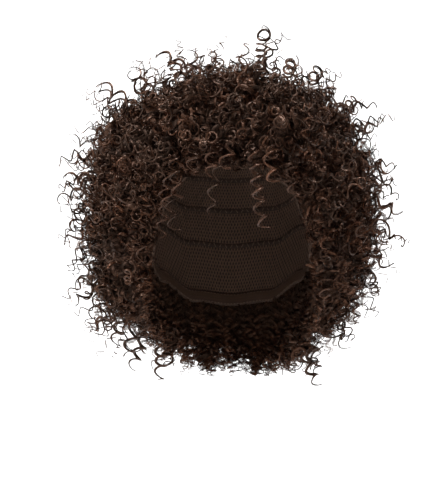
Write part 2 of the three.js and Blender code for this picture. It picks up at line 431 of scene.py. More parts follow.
def hair_way(turn, share):
    """Start, bend and end of the hair that is sewn on at a turn and a share of the way up to the crown."""
    latitude = mix(edge_at(turn, "cap"), cap_latitude_top, share)
    start = on_form(turn, latitude, cap_wall + root_gap)
    in_middle = 1 - smooth(turn_away(turn), *middle_turns)
    lifted = edge_at(turn, "hair") + corner_lift * corner_at(turn) + front_lift + middle_lift * in_middle
    inside = on_form(hair_turn_at(turn), lifted, inner_gap)
    end_turn = mix(hair_turn_at(turn), turn, smooth(share))
    outside = on_outline(end_turn, mix(edge_at(turn, "under"), cap_latitude_top, share))
    end = mix(inside, outside, smooth(share, 0, inner_share)[..., None])
    upright = unit(on_form(turn, latitude, 0.001) - on_form(turn, latitude))
    flat = unit(on_form(turn, latitude - 1) - on_form(turn, latitude))
    way = unit(mix(flat, upright, smooth(share, 0, flat_share)[..., None]))
    bend = start + way * lift_share * np.linalg.norm(end - start, axis=-1, keepdims=True)
    return start, bend, end


def along_way(way, along):
    """Points on ways of hair. Each way has a row of places along it, which may reach beyond its end."""
    start, bend, end = [point[..., None, :] for point in way]
    within = np.minimum(along, 1)[..., None]
    beyond = np.maximum(along - 1, 0)[..., None]
    curve = start * (1 - within) ** 2 + 2 * bend * within * (1 - within) + end * within**2
    return curve + 2 * (end - bend) * beyond


class Bundle:
    """Gathers strips of hair into the points, faces and map places of one mesh."""

    def __init__(self):
        self.points, self.faces, self.places, self.count = [], [], [], 0

    def add(self, points, faces, places):
        self.points.append(points.reshape(-1, 3))
        self.faces.append(faces.reshape(-1, 4) + self.count)
        self.places.append(places.reshape(-1, 4, 2))
        self.count += points.size // 3

    def add_grids(self, grids, tones, low, high, closed=False):
        """Adds a batch of strips. Each is a grid of points, with one tone and a span of the painted shade
        from root to tip.
        """
        many, long, wide = grids.shape[:3]
        faces = grid_faces(long, wide, round_columns=closed)
        spans = wide if closed else wide - 1
        across = np.linspace(strip_edge, 1 - strip_edge, spans + 1)
        along = np.linspace(low, high, long)
        places = grid_places(along, across)[..., ::-1].copy()
        places = np.broadcast_to(places, (many, *places.shape)).copy()
        places[..., 0] = (places[..., 0] + tones[:, None, None]) / strip_tones
        self.add(grids, faces[None] + (np.arange(many) * long * wide)[:, None, None], places)

    def piece(self, name, material):
        parts = [np.concatenate(part) for part in (self.points, self.faces, self.places)]
        return new_piece(name, *parts, "OFBake", material)


# The hair's map holds tones side by side. Strips of the first part into finer locks, the last stay whole.
strip_tones = 32
parted_tones = (0, 22)
whole_tones = (22, 32)
strip_edge = 0.03


def wind(centres, aside, radius, phase, coils, hand):
    """Winds each centre line into a corkscrew. Returns its points and the direction of its axis."""
    axis = unit(np.gradient(centres, axis=1))
    first = unit(aside[:, None, :] - axis * np.sum(aside[:, None, :] * axis, -1, keepdims=True))
    second = np.cross(axis, first)
    share = np.linspace(0, 1, centres.shape[1])[None, :]
    angle = phase[:, None] + hand[:, None] * 2 * math.pi * coils[:, None] * share
    angle = angle + wobble * np.sin(share * wobble_waves + phase[:, None] * wobble_phase)
    aside = np.cos(angle)[..., None] * first + np.sin(angle)[..., None] * second
    return centres + radius[..., None] * aside, axis


def strips(points, axis, width):
    """A flat strip of hair along each line, as wide as given, that faces out from its coil."""
    way = unit(np.gradient(points, axis=1))
    across = unit(axis - way * np.sum(axis * way, -1, keepdims=True))
    half = across * width[..., None] / 2
    return np.stack([points - half, points + half], 2)


def tubes(points, axis, width):
    """A three-sided strand along each line."""
    way = unit(np.gradient(points, axis=1))
    across = unit(axis - way * np.sum(axis * way, -1, keepdims=True))
    up = np.cross(way, across)
    corners = np.radians([90, 210, 330])
    offset = np.cos(corners)[:, None] * across[..., None, :] + np.sin(corners)[:, None] * up[..., None, :]
    return points[..., None, :] + offset * width[..., None, None] / 2


wobble = 0.4
wobble_waves = 9
wobble_phase = 5
tuft_size = 4
tuft_turn = 2.4
tuft_share = 0.012
tuft_reach = 0.003
outline_swell = 0.004

# Waves of the outline's unevenness: how many go round, their climb and their start
outline_waves = ((3, 1.0, 0.0), (5, -1.7, 2.0), (8, 2.3, 4.0))
outline_climb = 7

# How far the curls stop short of the outline at each height, on the left and on the right
trim_heights = (
    -0.211, -0.193, -0.176, -0.158, -0.141, -0.124, -0.106, -0.089, -0.0715, -0.054, -0.037, -0.019, -0.002
)
left_trims = (0.0, 0.005, 0.004, 0.009, 0.008, 0.015, 0.014, 0.006, 0.011, 0.005, 0.007, 0.005, 0.01)
right_trims = (-0.008, -0.001, 0.010, 0.014, 0.019, 0.017, 0.014, 0.016, 0.013, 0.010, 0.018, 0.013, 0.008)
crown_trim = 0.019
nape_drop = 0.013
side_blend = (-0.5, 0.5)
side_range = (0.3, 0.8)
nape_turns = (110, 150)
nape_shares = (0.3, 0.6)
crown_shares = (0.65, 0.9)
hairline_turns = (70, 95)
front_turns = (25, 65)
hairline_trim = 0.006
hairline_shift = 1.3

bow_size = 0.0025
least_reach = 0.3
least_near = 0.06
stray_room = 0.004
room_low, room_high = np.array(solid_box[0]) - stray_room, np.array(solid_box[1]) + stray_room
length_groups = 5
crown_stop = 0.995
turn_cells = 180
share_cells = 8
least_narrow = 0.1

# How a curl leans, falls and bows, widens from its root and narrows towards its tip
way_bend = 1.1
front_fall = 0.25
lean_apart = 0.6
fall_bend = 1.5
bow_waves = 2.2
root_size = 0.6
root_until = 0.3
tip_size = 0.62
tip_from = 0.5
taper_from = 0.6
shift_least = 0.7
shift_spread = 0.6

# The strips of one ringlet: how far round the coil, and size and width beside the main strip
ringlet_strips = ((0.0, 1.0, 1.0), (0.42, 0.94, 0.6), (-0.45, 1.08, 0.42), (0.9, 1.0, 0.3))

# Kinds of curl, in metres: length, how far short of the outline, radius, width of the main strip and fall.
# With them go the rise of each coil beside its radius, the stray to a side as a share of the length,
# the number of strips, whether the main one is round, the points on each coil, the span of painted shade from
# root to tip (a near-black root stands in for the shade deep in the hair), how much the coils close up
# towards the tip, whether the strips part into finer locks, and the tip's width.
kind_columns = (
    "length", "short", "radius", "pitch", "width", "fall",
    "stray", "strips", "round", "steps", "shade", "close", "parted", "tip",
)
kind_rows = {
    # Under curls take a dark span of the map: painted shade for the deep layer between the curls
    "under": (
        (0.012, 0.018), (0.01, 0.022), (0.004, 0.006), (1.7, 2.3), (0.003, 0.0044), (0.002, 0.01),
        1.5, 1, False, 6, (0.04, 0.42), 1.35, True, 0.3,
    ),
    "body": (
        (0.028, 0.042), (0.008, 0.023), (0.0042, 0.007), (1.6, 2.1), (0.0017, 0.0028), (0.004, 0.016),
        0.5, 3, False, 7, (0.15, 1.0), 1.35, True, 0.3,
    ),
    # Bold curls at the outline take a dark span of the map: painted shade of curls seen against the bright
    # backdrop
    "bold": (
        (0.028, 0.044), (-0.012, 0.006), (0.0032, 0.0058), (2.2, 3.3), (0.0012, 0.0023), (0.002, 0.014),
        0.9, 1, True, 12, (0.1, 0.5), 1.45, False, 0.5,
    ),
    "wispy": (
        (0.035, 0.055), (-0.018, 0.0), (0.0026, 0.0056), (2.6, 4.0), (0.0006, 0.0012), (0.0, 0.012),
        0.9, 1, False, 14, (0.3, 0.9), 1.8, False, 0.3,
    ),
    "inner": (
        (0.2, 0.2), (0.002, 0.014), (0.0036, 0.0052), (2.0, 2.6), (0.0024, 0.0036), (0.0, 0.004),
        0.01, 2, False, 7, (0.1, 0.6), 1.35, True, 0.3,
    ),
    "fringe": (
        (0.026, 0.04), (0.0, 0.012), (0.0034, 0.0054), (2.2, 3.0), (0.0008, 0.0018), (0.008, 0.026),
        0.2, 2, False, 10, (0.25, 0.7), 1.6, False, 0.3,
    ),
}
under_curls, body_curls, bold_curls, wispy_curls, inner_curls, fringe_curls = [
    dict(zip(kind_columns, row)) for row in kind_rows.values()
]


def in_range(pair, count, random):
    return mix(pair[0], pair[1], random.random(count))


def spread(low, high, count, random, per_tuft=1):
    """Random turns and shares in a row, in tufts that lie evenly over the outside that they make."""
    turns = np.linspace(-180, 180, turn_cells + 1)
    shares = np.linspace(low, high, share_cells + 1)
    ends = hair_way(*np.meshgrid(turns, shares, indexing="ij"))[2]
    sides = np.cross(np.diff(ends, axis=0)[:, :-1], np.diff(ends, axis=1)[:-1])
    area = np.linalg.norm(sides, axis=-1)
    tufts = count // per_tuft
    filled = np.cumsum(area.ravel()) / area.sum()
    cell = np.searchsorted(filled, (np.arange(tufts) + random.random(tufts)) / tufts)
    turn = turns[cell // area.shape[1]] + random.random(tufts) * (turns[1] - turns[0])
    share = shares[cell % area.shape[1]] + random.random(tufts) * (shares[1] - shares[0])
    if per_tuft == 1:
        return turn, np.minimum(share, crown_stop), np.arange(count)
    tuft = random.integers(0, tufts, count)
    narrow = np.maximum(np.cos(share * math.pi / 2), least_narrow)[tuft]
    turn = turn[tuft] + random.normal(size=count) * tuft_turn / narrow
    share = share[tuft] + random.normal(size=count) * tuft_share
    return turn, np.clip(share, low, min(high, crown_stop)), tuft


def swell_at(turn, share):
    """The unevenness of the outline, from -1 to 1."""
    a = np.radians(turn)
    b = share * outline_climb
    waves = [np.sin(count * a + climb * b + start) for count, climb, start in outline_waves]
    return sum(waves) / len(waves)


def trim_at(turn, share, way):
    """How far the hair stops short of the smooth outline, with its unevenness and its fall at the nape."""
    side = np.sin(np.radians(turn))
    left, right = [np.interp(way[2][..., 2], trim_heights, trims) for trims in (left_trims, right_trims)]
    trim = mix(left, right, smooth(side, *side_blend)) * smooth(np.abs(side), *side_range)
    trim = trim - nape_drop * smooth(turn_away(turn), *nape_turns) * (1 - smooth(share, *nape_shares))
    return trim + crown_trim * smooth(share, *crown_shares) - outline_swell * swell_at(turn, share)


def add_curls(bundle, places, kind, random):
    """Ringlets of one kind at the given turns and shares, each made of a few strips of hair."""
    turn, share, tuft = places
    count = len(turn)
    way = hair_way(turn, share)
    whole = np.linalg.norm(way[2] - way[0], axis=-1) * way_bend + 1e-6
    at_hairline = (1 - smooth(share, 0, row_share)) * (1 - smooth(turn_away(turn), *hairline_turns))
    short = in_range(kind["short"], count, random) + trim_at(turn, share, way) + hairline_trim * at_hairline
    reach = np.maximum(1 - (short + tuft_reach * random.normal(size=count)[tuft]) / whole, least_reach)
    near = np.maximum(reach - in_range(kind["length"], count, random) / whole, least_near)
    length = (reach - near) * whole
    radius = in_range(kind["radius"], count, random)
    coils = length * math.hypot(1, kind["stray"]) / (radius * in_range(kind["pitch"], count, random))
    outward = unit(way[2] - way[1])
    front = smooth(turn_away(turn), *front_turns)
    down = np.array([0, 0, -1.0]) + outward * outward[:, 2:]
    front = 1 if kind is fringe_curls else mix(front_fall, 1.0, front)
    fall = in_range(kind["fall"], count, random) * front
    lean = unit(random.normal(size=(count, 3))[tuft] + random.normal(size=(count, 3)) * lean_apart)
    lean = lean - outward * np.sum(lean * outward, -1, keepdims=True)
    drift = down * fall[:, None] + lean * (kind["stray"] * length)[:, None]
    bow = unit(random.normal(size=(count, 3))) * bow_size
    away = unit(on_form(turn, edge_at(turn, "hair"), 0.001) - on_form(turn, edge_at(turn, "hair")))
    drift = drift - np.minimum(np.sum(drift * away, -1), 0)[:, None] * away * at_hairline[:, None]
    away = away * (radius * hairline_shift * at_hairline)[:, None]
    width = in_range(kind["width"], count, random)
    phase = random.random(count) * 2 * math.pi
    hand = random.choice([-1, 1], count)
    aside = np.stack([np.cos(np.radians(turn)), np.sin(np.radians(turn)), np.zeros(count)], -1)
    for group in np.array_split(np.argsort(coils), length_groups):
        steps = int(kind["steps"] * coils[group].mean()) + 3
        rise = 1 - (1 - np.linspace(0, 1, steps)[None, :]) ** kind["close"]
        part_way = [point[group] for point in way]
        centres = along_way(part_way, mix(near[group, None], reach[group, None], rise))
        centres = centres + drift[group, None, :] * (rise**fall_bend)[..., None]
        centres = centres + bow[group, None, :] * np.sin(rise * math.pi * bow_waves)[..., None]
        centres = centres + away[group, None, :]
        too_low = np.minimum(centres.min(1) - radius[group, None] - room_low, 0)
        too_high = np.maximum(centres.max(1) + radius[group, None] - room_high, 0)
        centres = centres - (too_low + too_high)[:, None, :] * rise[..., None]
        grown = radius[group, None] * mix(root_size, 1.0, smooth(rise, 0, root_until))
        grown = grown * mix(1.0, tip_size, smooth(rise, tip_from, 1))
        for shift, size, share_of_width in ringlet_strips[: kind["strips"]]:
            turned = phase[group] + shift * (shift_least + shift_spread * random.random(len(group)))
            taper = mix(1.0, kind["tip"], smooth(np.linspace(0, 1, steps)[None, :], taper_from, 1))
            taper = taper * share_of_width
            points, axis = wind(centres, aside[group], grown * size, turned, coils[group], hand[group])
            tones = random.integers(*(parted_tones if kind["parted"] else whole_tones), len(group))
            solid = kind["round"] and share_of_width == 1
            grids = (tubes if solid else strips)(points, axis, width[group, None] * taper)
            bundle.add_grids(grids, tones, *kind["shade"], closed=solid)


mass_turns = 96
mass_short = 0.024
mass_least = 0.3
mass_most = 0.72
mass_rough = 0.004
mass_grain = 60.0
mass_front_share = 0.02
mass_depths = (0.2, 0.4, 0.6, 0.8, 1.0)
mass_parts = (0.25, 0.5, 0.75)
mass_rough_depths = (0.1, 0.6)
# The mass takes only the near-black root end of the hair's map: painted shade for the depth between the curls
mass_shades = (0.01, 0.1)
mass_tone_place = (0.1, 0.9, 0.9, 0.1)


def add_mass(bundle, row):
    """The dense hair of a row under its curls, which opens from its sewn strip, painted near-black as the
    shade between the curls.
    """
    middle = (row + 0.5) * row_share
    low = row * row_share + (mass_front_share if row == 0 else 0)
    high = crown_stop if row == last_row else (row + 1) * row_share
    foot = [(middle - track_share, 0.0), (middle + track_share, 0.0)]
    rising = [(high, depth) for depth in mass_depths]
    top = [(mix(high, low, part), 1.0) for part in mass_parts]
    falling = [(low, depth) for depth in mass_depths[::-1]]
    share, depth = np.array(foot + rising + top + falling).T
    turns = np.arange(mass_turns) * 360 / mass_turns
    way = hair_way(*np.meshgrid(turns, share, indexing="ij"))
    whole = np.linalg.norm(way[2] - way[0], axis=-1)
    trim = trim_at(turns[:, None], share[None, :], way)
    along = depth * np.clip(1 - (mass_short + trim) / whole, mass_least, mass_most)
    points = along_way(way, along[..., None])[..., 0, :]
    shift = np.array([noise.noise_vector(Vector(point) * mass_grain) for point in points.reshape(-1, 3)])
    shift = shift.reshape(points.shape) * (mass_rough * smooth(depth, *mass_rough_depths))[:, None]
    faces = grid_faces(*points.shape[:2], True, True)
    places = grid_places(np.arange(mass_turns + 1.0), np.linspace(*mass_shades, share.size + 1))
    places = places.reshape(mass_turns, -1, 4, 2)
    places[..., 0] = (np.arange(mass_turns) % strip_tones)[:, None, None] + np.array(mass_tone_place)
    places[..., 0] /= strip_tones
    points = points + shift
    bundle.add(points, faces, places)


# Curled fibre, as a shared shader group: roots painted near-black as the shade deep in the hair, a tone for
# each strip, and fine streaks along it
tone_step = 17.3
streak_stretch = 9.0
streak_range = {"From Min": 0.3, "From Max": 0.7, "To Min": 0.45, "To Max": 1.4}
shade_bend = 1.6
dull_range = {"From Min": 0.1, "From Max": 0.4, "To Min": 0.66, "To Max": 0.0}
rough_spread = 0.3
rounding_range = (0.7, 0.15)
rounding_grain = (0.2, 0.4)
rounding_strength = 0.8
fibre_group, fibre_in, fibre_out = new_group(
    "curled fibre",
    {
        "Shaded Root Colour": (colour_socket, (0.010, 0.006, 0.004, 1)),
        "Tip Colour": (colour_socket, (0.060, 0.036, 0.025, 1)),
        "Warm Colour": (colour_socket, (0.110, 0.052, 0.030, 1)),
        "Warm Share": (float_socket, 0.2),
        "Tone Spread": (float_socket, 0.75),
        "Fibres": (float_socket, 6.0),
        "Roughness": (float_socket, 0.4),
    },
    {"Colour": colour_socket, "Roughness": float_socket, "Normal": vector_socket, "Cover": float_socket},
)


def fibre_maths(operation, *values):
    return maths(fibre_group, operation, *values)


fibre_map = node(fibre_group, "UVMap", uv_map="OFBake").outputs["UV"]
fibre_place = node(fibre_group, "SeparateXYZ", {0: fibre_map})
strip_place = fibre_maths("MULTIPLY", fibre_place.outputs["X"], float(strip_tones))
strip_number = fibre_maths("FLOOR", strip_place)
strip_across = fibre_maths("FRACT", strip_place)
strip_along = fibre_place.outputs["Y"]
tone = node(fibre_group, "TexWhiteNoise", {"W": strip_number}, noise_dimensions="1D")
streak_across = fibre_maths("MULTIPLY", strip_across, fibre_in.outputs["Fibres"])
streak_place = node(
    fibre_group,
    "CombineXYZ",
    {
        "X": fibre_maths("MULTIPLY_ADD", strip_number, tone_step, streak_across),
        "Y": fibre_maths("MULTIPLY", strip_along, streak_stretch),
    },
)
streak = node(
    fibre_group,
    "TexNoise",
    {"Vector": streak_place.outputs[0], "Scale": 1.0, "Detail": 2.0},
    noise_dimensions="2D",
)
streak_strength = node(fibre_group, "MapRange", {"Value": streak.outputs["Fac"], **streak_range}).outputs[0]
# Painted shade: each strip runs from the near-black shaded root colour at its root to the hair's own brown at
# its tip
shade_fade = fibre_maths("POWER", strip_along, shade_bend)
root_shaded = node(
    fibre_group,
    "Mix",
    {"Factor": shade_fade, "A": fibre_in.outputs["Shaded Root Colour"], "B": fibre_in.outputs["Tip Colour"]},
    data_type="RGBA",
)
warm_from = fibre_maths("SUBTRACT", 1.0, fibre_in.outputs["Warm Share"])
warm_strip = fibre_maths("GREATER_THAN", tone.outputs["Value"], warm_from)
warm_amount = fibre_maths("MULTIPLY", warm_strip, strip_along)
tinted = node(
    fibre_group,
    "Mix",
    {"Factor": warm_amount, "A": root_shaded.outputs["Result"], "B": fibre_in.outputs["Warm Colour"]},
    data_type="RGBA",
)
tone_green = node(fibre_group, "SeparateColor", {0: tone.outputs["Color"]}).outputs["Green"]
tone_off = fibre_maths("SUBTRACT", tone_green, 0.5)
tone_shift = fibre_maths("MULTIPLY", tone_off, fibre_in.outputs["Tone Spread"])
tone_strength = fibre_maths("MULTIPLY_ADD", tone_shift, 2.0, 1.0)
strength = fibre_maths("MULTIPLY", streak_strength, tone_strength)
shaded = node(fibre_group, "VectorMath", {0: tinted.outputs["Result"], "Scale": strength}, operation="SCALE")
fibre_group.links.new(shaded.outputs[0], fibre_out.inputs["Colour"])
dull_root = node(fibre_group, "MapRange", {"Value": strip_along, **dull_range}).outputs[0]
dull_root = fibre_maths("SUBTRACT", dull_root, rough_spread / 2)
fibre_rough = fibre_maths("MULTIPLY_ADD", streak.outputs["Fac"], rough_spread, dull_root)
fibre_rough = fibre_maths("ADD", fibre_rough, fibre_in.outputs["Roughness"])
fibre_group.links.new(fibre_rough, fibre_out.inputs["Roughness"])
round_red = fibre_maths("MULTIPLY_ADD", strip_across, *rounding_range)
round_green = fibre_maths("MULTIPLY_ADD", streak.outputs["Fac"], *rounding_grain)
rounding = node(fibre_group, "CombineColor", {"Red": round_red, "Green": round_green, "Blue": 0.9})
rounded = node(
    fibre_group, "NormalMap", {"Color": rounding.outputs[0], "Strength": rounding_strength}, uv_map="OFBake"
)
fibre_group.links.new(rounded.outputs["Normal"], fibre_out.inputs["Normal"])

# Strips of the parted tones open into finer locks, more so towards their tips
lock_step = 2.4
lock_waves = 23.0
lock_swing = 0.3
locks_across = 3.0
lock_parting = 0.25
lock_edge = 0.1
packed_until = 0.11
lock_number = fibre_maths("MULTIPLY", strip_number, lock_step)
lock_sway = fibre_maths("MULTIPLY_ADD", strip_along, lock_waves, lock_number)
lock_sway = fibre_maths("SINE", lock_sway)
lock_shift = fibre_maths("MULTIPLY", lock_sway, lock_swing)
lock_place = fibre_maths("MULTIPLY_ADD", strip_across, locks_across, lock_shift)
lock_off = fibre_maths("PINGPONG", fibre_maths("ADD", lock_place, 2.0), 0.5)
lock_gap = fibre_maths("MULTIPLY", strip_along, lock_parting)
lock_left = fibre_maths("SUBTRACT", lock_off, lock_gap)
lock_cover = node(
    fibre_group, "MapRange", {"Value": lock_left, "From Min": 0.0, "From Max": lock_edge}
).outputs[0]
packed = fibre_maths("LESS_THAN", strip_along, packed_until)
unparted = fibre_maths("GREATER_THAN", strip_number, whole_tones[0] - 0.5)
solid_strip = fibre_maths("MAXIMUM", packed, unparted)
fibre_group.links.new(fibre_maths("MAXIMUM", lock_cover, solid_strip), fibre_out.inputs["Cover"])

hair_shine = (0.9, 0.52, 0.36, 1)
hair_specular = 0.8
# The near-black root colour is painted shade for the depth inside the hair; the tips carry the hair's own
# brown
hair_look = {
    "Shaded Root Colour": (0.005, 0.003, 0.002, 1),
    "Tip Colour": (0.105, 0.045, 0.027, 1),
    "Warm Colour": (0.155, 0.064, 0.034, 1),
    "Warm Share": 0.25,
    "Roughness": 0.25,
}
curl_material = bpy.data.materials.new("dark brown curled hair")
curl_material.use_nodes = True
curl_tree = curl_material.node_tree
curl_shader = curl_tree.nodes["Principled BSDF"]
fibre = node(curl_tree, "Group", hair_look, node_tree=fibre_group)
for output, socket in (
    ("Colour", "Base Color"),
    ("Roughness", "Roughness"),
    ("Normal", "Normal"),
    ("Cover", "Alpha"),
):
    curl_tree.links.new(fibre.outputs[output], curl_shader.inputs[socket])
curl_shader.inputs["Specular IOR Level"].default_value = hair_specular
curl_shader.inputs["Specular Tint"].default_value = hair_shine
last_row = 6
seeds = np.random.SeedSequence(7).spawn(last_row + 1)

# Tapes inside the cap, with the zigzag stitches that hold each weft to the net
track_pitch = 0.006
track_width = 0.0045
track_thickness = 0.0004
track_yarn = (0.05, 0.028, 0.019, 1)
track_gap = (0.012, 0.007, 0.005, 1)
tape_weave = 0.0011
tape_slant = math.radians(4)
tape_fineness = 1.4
tape_roughness = 0.8
tape_relief = 0.0002
track_swing = 0.8


def track_latitude(turns, row):
    return mix(edge_at(turns, "cap"), cap_latitude_top, (row + 0.5) * row_share)


def tape_profile(row):
    def profile(turns):
        middle = track_latitude(turns, row)
        degree = np.linalg.norm(on_form(turns, middle + 1) - on_form(turns, middle), axis=-1)
        low, high = middle - track_width / 2 / degree, middle + track_width / 2 / degree
        return [(low, -track_thickness), (high, -track_thickness), (high, 0), (low, 0)]

    return profile


tape_material = cloth_material(
    "cotton tape", tape_weave, tape_slant, tape_fineness, track_yarn, track_gap, tape_roughness, tape_relief
)
tapes = [round_strip(tape_profile(row)) for row in range(1, last_row)]
tape_points = np.concatenate([points for points, faces, places in tapes])
tape_faces = [faces + number * len(points) for number, (points, faces, places) in enumerate(tapes)]
tape_places = np.concatenate([places for points, faces, places in tapes])
tape_parts = (tape_points, np.concatenate(tape_faces), tape_places)
weft_tapes = new_piece("weft_tapes", *tape_parts, "Cloth", tape_material)
track_rows = [
    stitch_row(lambda turns, row=row: track_latitude(turns, row), -track_thickness, track_pitch, track_swing)
    for row in range(1, last_row)
]
track_threads = stitches(*[np.concatenate(parts) for parts in zip(*track_rows)])
weft_stitches = new_piece("weft_stitches", *track_threads, "Cloth", thread_material)

# Loose ringlets at the hairline: from and to, coil radius, coils, phase and width
hairline_ringlets = (
    ((0.0131, -0.112, -0.030), (0.0241, -0.120, -0.0800), 0.0046, 5.4, 0.4, 0.0028),
    ((0.0140, -0.111, -0.030), (0.0235, -0.119, -0.0740), 0.0040, 4.6, 1.6, 0.0020),
    ((0.0215, -0.118, -0.068), (0.0250, -0.124, -0.1009), 0.0046, 2.6, 2.4, 0.0018),
    ((0.0250, -0.112, -0.028), (0.0345, -0.121, -0.0630), 0.0044, 2.8, 1.0, 0.0024),
    ((-0.0080, -0.114, -0.036), (-0.0170, -0.122, -0.0885), 0.0040, 3.4, 2.0, 0.0018),
    ((-0.0130, -0.113, -0.032), (-0.0190, -0.119, -0.0580), 0.0050, 2.2, 3.6, 0.0012),
    ((-0.0020, -0.114, -0.030), (-0.0050, -0.120, -0.0520), 0.0048, 2.0, 0.8, 0.0018),
    ((-0.0320, -0.109, -0.030), (-0.0300, -0.117, -0.0560), 0.0052, 2.2, 0.0, 0.0016),
    ((-0.0450, -0.100, -0.034), (-0.0440, -0.109, -0.0760), 0.0046, 3.6, 3.0, 0.0024),
    ((-0.0500, -0.098, -0.036), (-0.0520, -0.106, -0.0840), 0.0050, 3.2, 4.4, 0.0016),
    ((-0.0540, -0.092, -0.050), (-0.0570, -0.100, -0.1060), 0.0046, 4.4, 5.0, 0.0010),
    ((-0.0500, -0.096, -0.062), (-0.0440, -0.104, -0.1020), 0.0048, 2.8, 1.4, 0.0009),
    ((0.0480, -0.098, -0.040), (0.0500, -0.105, -0.0760), 0.0046, 3.0, 2.2, 0.0018),
)

# Darker ringlets that hang from the lower corners, given in the same way
nape_ringlets = (
    ((0.0560, 0.016, -0.1860), (0.0753, -0.012, -0.2310), 0.0040, 4.6, 1.0, 0.0028),
    ((0.0680, 0.016, -0.1780), (0.0730, -0.010, -0.2170), 0.0048, 3.2, 1.0, 0.0030),
    ((0.0480, -0.010, -0.1860), (0.0597, 0.016, -0.2190), 0.0050, 3.2, 2.0, 0.0026),
    ((0.0560, 0.024, -0.1920), (0.0600, -0.008, -0.2070), 0.0060, 2.4, 0.0, 0.0032),
    ((0.0780, 0.012, -0.1680), (0.0980, -0.012, -0.2000), 0.0050, 3.4, 3.0, 0.0020),
    ((-0.0600, 0.018, -0.1860), (-0.0640, -0.012, -0.2290), 0.0046, 4.6, 4.0, 0.0028),
    ((-0.0520, -0.006, -0.1860), (-0.0560, 0.020, -0.2190), 0.0044, 3.6, 2.0, 0.0022),
    ((-0.0740, 0.014, -0.1820), (-0.0840, -0.012, -0.2160), 0.0044, 3.8, 0.0, 0.0026),
    ((-0.0830, 0.016, -0.1680), (-0.0880, -0.010, -0.2070), 0.0050, 3.2, 1.0, 0.0028),
    ((-0.0880, 0.012, -0.1580), (-0.1020, -0.014, -0.1980), 0.0050, 3.6, 2.5, 0.0024),
    ((-0.0960, -0.008, -0.1480), (-0.1190, 0.016, -0.1800), 0.0046, 3.6, 1.5, 0.0020),
)

ringlet_steps = 64
ringlet_sway = (0.0015, 0, 0.001)
sway_waves = 5
ringlet_side = (0.3, 1.0, 0.2)
ringlet_strands = ((0, 1, 1), (0.3, 0.85, 0.4))
ringlet_root = 0.7
ringlet_tip = 0.35
# Spans of the painted root-to-tip shade that each set of ringlets takes; the nape ones take a darker span
hairline_shade = (0.4, 0.8)
nape_shade = (0.15, 0.4)


def add_ringlets(bundle, table, shade):
    """Single ringlets in given places, each with a finer strand beside it."""
    for number, (start, end, radius, coils, phase, width) in enumerate(table):
        start, end = np.array(start), np.array(end)
        rise = np.linspace(0, 1, ringlet_steps)[None, :]
        centres = mix(start, end, rise[..., None])
        centres = centres + np.array(ringlet_sway) * np.sin(rise * sway_waves + phase)[..., None]
        aside = unit(np.cross(end - start, ringlet_side))[None, :]
        grown = radius * mix(ringlet_root, 1.0, smooth(rise, 0, root_until))
        tone = np.array([whole_tones[0] + number % (whole_tones[1] - whole_tones[0])])
        for shift, size, share in ringlet_strands:
            turned = np.array([phase + shift])
            points, axis = wind(centres, aside, grown * size, turned, np.array([coils]), np.array([1]))
            thick = width * share * mix(1.0, ringlet_tip, smooth(rise, 0.7, 1))
            bundle.add_grids(tubes(points, axis, thick), tone, *shade, closed=True)


# How many curls of each kind the first row holds, and where its inner and fringe curls start
under_count, body_count, inner_count = 560, 392, 320
bold_count, wispy_count, fringe_count = 80, 60, 90
first_share, bold_share = 0.01, 0.05
inner_shares = (0.005, 0.04)
fringe_turns = (-50, 50)
fringe_shares = (0.02, 0.12)
fringe_tuft = 3
random = np.random.default_rng(seeds[0])
hairline = Bundle()
add_mass(hairline, 0)
add_curls(hairline, spread(first_share, row_share, under_count, random), under_curls, random)
add_curls(hairline, spread(first_share, row_share, body_count, random, tuft_size), body_curls, random)
inner_turn = random.uniform(-180, 180, inner_count)
inner_share_at = random.uniform(*inner_shares, inner_count)
add_curls(hairline, (inner_turn, inner_share_at, np.arange(inner_count)), inner_curls, random)
add_curls(hairline, spread(bold_share, row_share, bold_count, random), bold_curls, random)
add_curls(hairline, spread(bold_share, row_share, wispy_count, random), wispy_curls, random)
fringe_turn = random.uniform(*fringe_turns, fringe_count)
fringe_share = random.uniform(*fringe_shares, fringe_count)
add_curls(hairline, (fringe_turn, fringe_share, np.arange(fringe_count) // fringe_tuft), fringe_curls, random)
add_ringlets(hairline, hairline_ringlets, hairline_shade)
add_ringlets(hairline, nape_ringlets, nape_shade)
weft_1 = hairline.piece("weft_1_hairline_curls", curl_material)
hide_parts("weft_1_hairline")


# Rows of hair above the first, and the crown.
# Each real piece is a weft like the first one, sewn on a little higher. Their curls make the round outside.
# The crown is filled by the last weft, wound in a flat spiral and sewn down.
under_per_body = 1.2
# Stray ringlets take a dark span of the painted root-to-tip shade, as curls seen against the bright backdrop
stray_shade = (0.2, 0.5)

# Each row's name and how many body, bold and wispy curls it holds
upper_rows = (
    ("weft_2", 455, 140, 70),
    ("weft_3", 480, 185, 70),
    ("weft_4", 450, 180, 60),
    ("weft_5", 375, 135, 60),
    ("weft_6", 270, 94, 50),
    ("crown_hair", 145, 44, 14),
)

